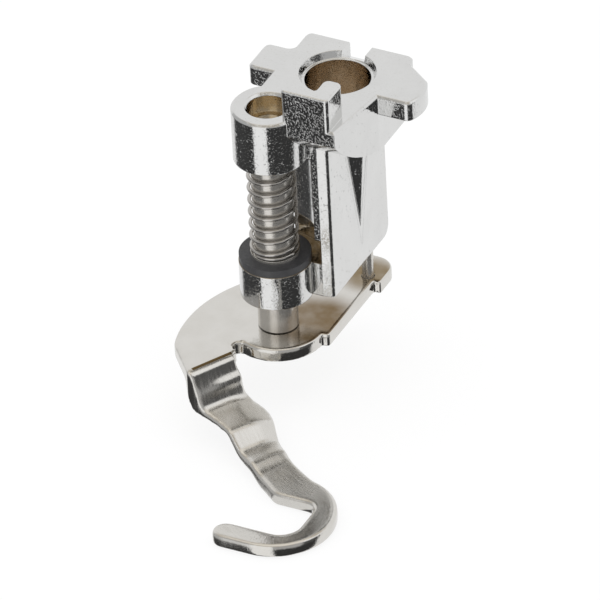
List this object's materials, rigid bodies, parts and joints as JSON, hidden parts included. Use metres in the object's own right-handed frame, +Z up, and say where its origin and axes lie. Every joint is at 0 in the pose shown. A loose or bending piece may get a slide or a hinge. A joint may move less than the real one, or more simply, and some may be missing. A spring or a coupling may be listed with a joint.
{
  "type": "spring-loaded sewing machine presser foot",
  "caption": "Metal sewing machine presser foot with a socket shank, a sprung slide rod and a stepped arm that ends in an open hook around the needle.",
  "frame": {"origin": "on the axis of the socket bore, in the plane of the head flange's top face", "axes": "+Z up along the socket bore, +X to the operator's right, -Y towards the operator"},
  "size_m": [0.0238, 0.0402, 0.0372],
  "materials": {
    "nickel_plate": "polished nickel plate",
    "ground_steel": "ground",
    "spring_wire": "drawn wire",
    "black_rubber": "matte"
  },
  "bodies": {
    "head": {"shank": "nickel_plate", "damper_washer": "black_rubber", "coil_spring": "spring_wire"},
    "foot": {"slide_rod": "ground_steel", "retaining_ring": "ground_steel", "foot_plate": "nickel_plate", "guide_pin": "ground_steel"}
  },
  "joints": [
    {"name": "foot_slide", "type": "slide", "parent": "head", "child": "foot", "axis": [0, 0, 1], "range_m": [0, 0.0038], "stiffness_N_per_m": 180, "springref_m": -0.004, "deforming": ["coil_spring"]}
  ]
}
